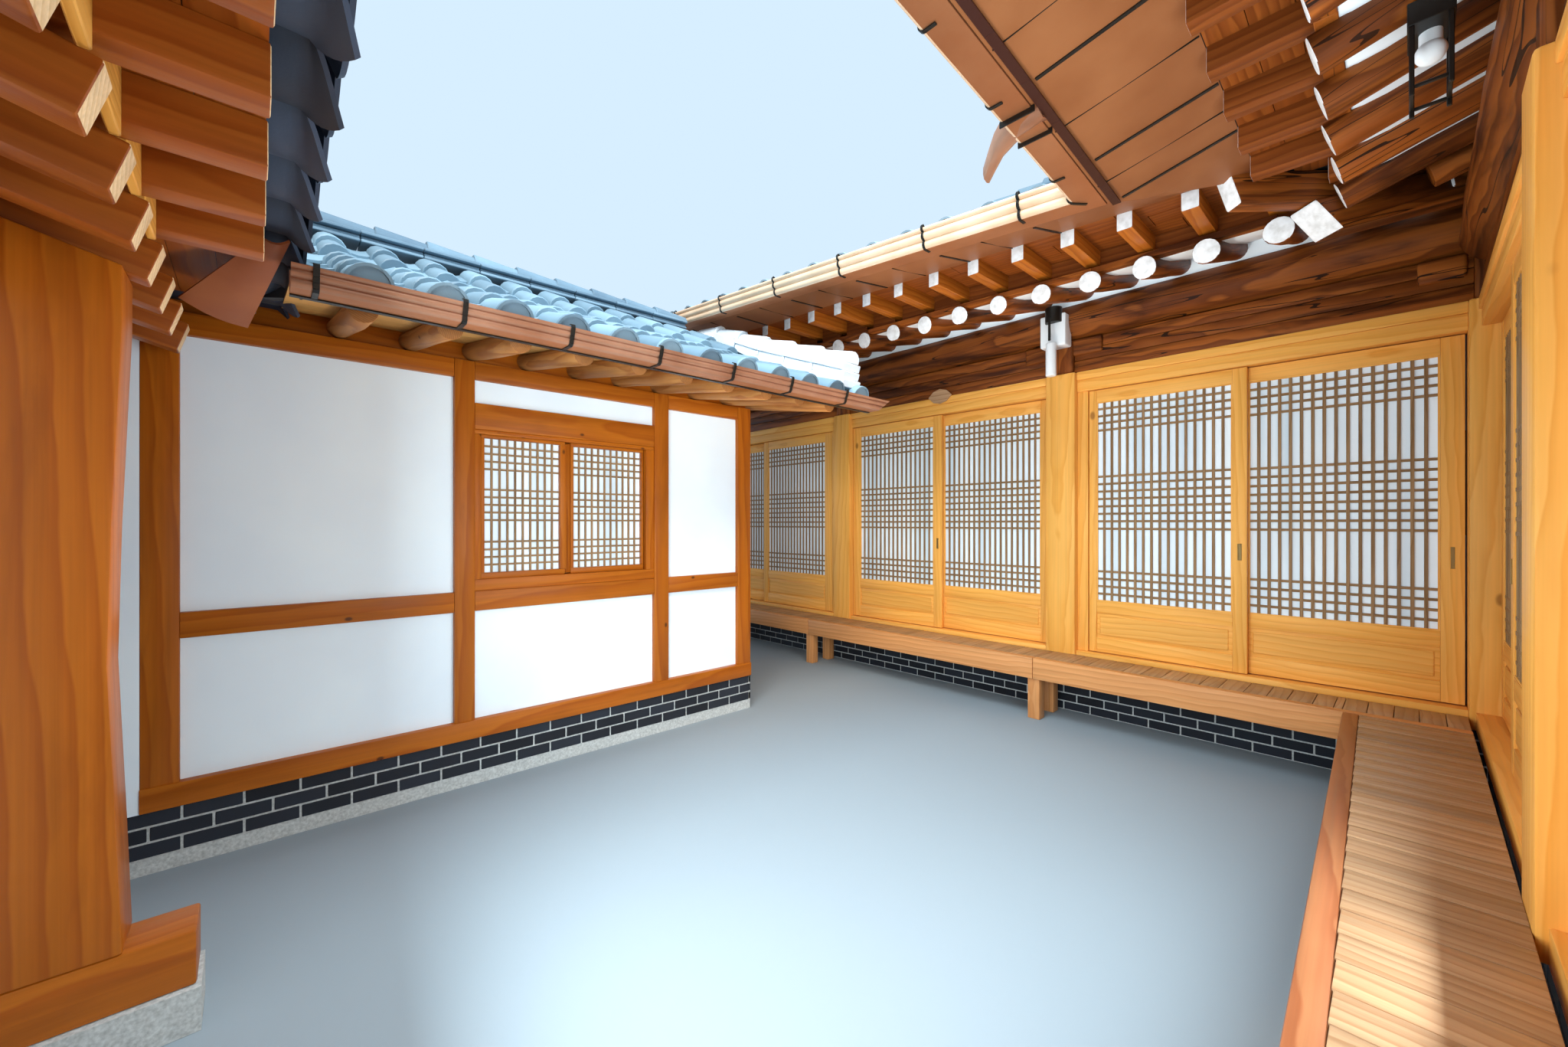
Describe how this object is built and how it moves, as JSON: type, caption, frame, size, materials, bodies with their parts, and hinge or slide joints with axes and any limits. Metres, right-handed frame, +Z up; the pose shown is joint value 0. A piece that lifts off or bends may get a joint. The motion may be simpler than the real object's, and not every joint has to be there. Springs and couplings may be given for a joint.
{
  "type": "hanok courtyard house",
  "caption": "Tile-roofed timber courtyard house: two tall wings under one valley roof with porches and sliding lattice doors, a low plastered wing and a low wing over a passage.",
  "frame": {"origin": "middle of the house's bounding box at ground level", "axes": "+X along the back facade to the right, +Y from the entrance towards the back wing, +Z up"},
  "size_m": [11.98, 12.52, 5.18],
  "materials": {
    "old_pine": "oiled, aged dark brown",
    "grey_tile": "matte fired clay, blue grey",
    "black_tile": "matte fired clay, charcoal",
    "copper": "weathered sheet",
    "plaster": "smooth lime plaster",
    "brick": "black brick with grey joints",
    "porch_pine": "satin varnish",
    "honey_pine": "satin varnish",
    "oiled_pine": "oiled",
    "glass": "clear"
  },
  "bodies": {
    "house": {"back_front_rafters": "old_pine", "right_inner_rafters": "old_pine", "back_rear_rafters": "old_pine", "right_outer_rafters": "old_pine", "valley_beam": "old_pine", "hip_beam": "old_pine", "back_front_frame": "old_pine", "right_inner_frame": "old_pine", "back_front_purlin": "old_pine", "right_inner_purlin": "old_pine", "rear_window_1": "old_pine", "rear_window_2": "old_pine", "back_front_roof": "grey_tile", "right_inner_roof": "grey_tile", "back_rear_roof": "grey_tile", "right_outer_roof": "grey_tile", "back_ridge": "grey_tile", "right_ridge": "grey_tile", "left_front_roof": "grey_tile", "left_rear_roof": "grey_tile", "left_ridge": "grey_tile", "near_front_roof": "black_tile", "near_rear_roof": "black_tile", "near_ridge": "black_tile", "back_gutter": "copper", "right_gutter": "copper", "left_gutter": "copper", "back_outer_wall": "plaster", "right_outer_wall": "plaster", "left_front_infill": "plaster", "left_outer_wall": "plaster", "near_wall": "plaster", "back_base": "brick", "right_base": "brick", "left_base": "brick", "near_base": "brick", "back_porch": "porch_pine", "right_porch": "porch_pine", "back_leaf_1_left": "honey_pine", "right_fixed_screen": "honey_pine", "left_front_frame": "oiled_pine", "left_window": "oiled_pine", "left_front_rafters": "oiled_pine", "left_rear_rafters": "oiled_pine", "near_sill": "oiled_pine", "near_post": "oiled_pine", "near_window": "oiled_pine", "near_front_plate": "oiled_pine", "near_rear_plate": "oiled_pine", "near_front_rafters": "oiled_pine", "near_rear_rafters": "oiled_pine", "left_window_glass": "glass"},
    "back_leaf_1_right": {"back_leaf_1_right": "honey_pine"},
    "back_leaf_2_left": {"back_leaf_2_left": "honey_pine"},
    "back_leaf_2_right": {"back_leaf_2_right": "honey_pine"},
    "back_leaf_3_left": {"back_leaf_3_left": "honey_pine"},
    "back_leaf_3_right": {"back_leaf_3_right": "honey_pine"},
    "right_leaf_1_far": {"right_leaf_1_far": "honey_pine"},
    "right_leaf_1_near": {"right_leaf_1_near": "honey_pine"}
  },
  "joints": [
    {"name": "back_leaf_1_right_slide", "type": "slide", "parent": "house", "child": "back_leaf_1_right", "axis": [-1, 0, 0], "range_m": [0, 0.77]},
    {"name": "back_leaf_2_left_slide", "type": "slide", "parent": "house", "child": "back_leaf_2_left", "axis": [1, 0, 0], "range_m": [0, 0.99]},
    {"name": "back_leaf_2_right_slide", "type": "slide", "parent": "house", "child": "back_leaf_2_right", "axis": [-1, 0, 0], "range_m": [0, 1]},
    {"name": "back_leaf_3_left_slide", "type": "slide", "parent": "house", "child": "back_leaf_3_left", "axis": [1, 0, 0], "range_m": [0, 0.93]},
    {"name": "back_leaf_3_right_slide", "type": "slide", "parent": "house", "child": "back_leaf_3_right", "axis": [-1, 0, 0], "range_m": [0, 0.9]},
    {"name": "right_leaf_1_far_slide", "type": "slide", "parent": "house", "child": "right_leaf_1_far", "axis": [0, -1, 0], "range_m": [0, 1.03]},
    {"name": "right_leaf_1_near_slide", "type": "slide", "parent": "house", "child": "right_leaf_1_near", "axis": [0, 1, 0], "range_m": [0, 1.02]}
  ]
}
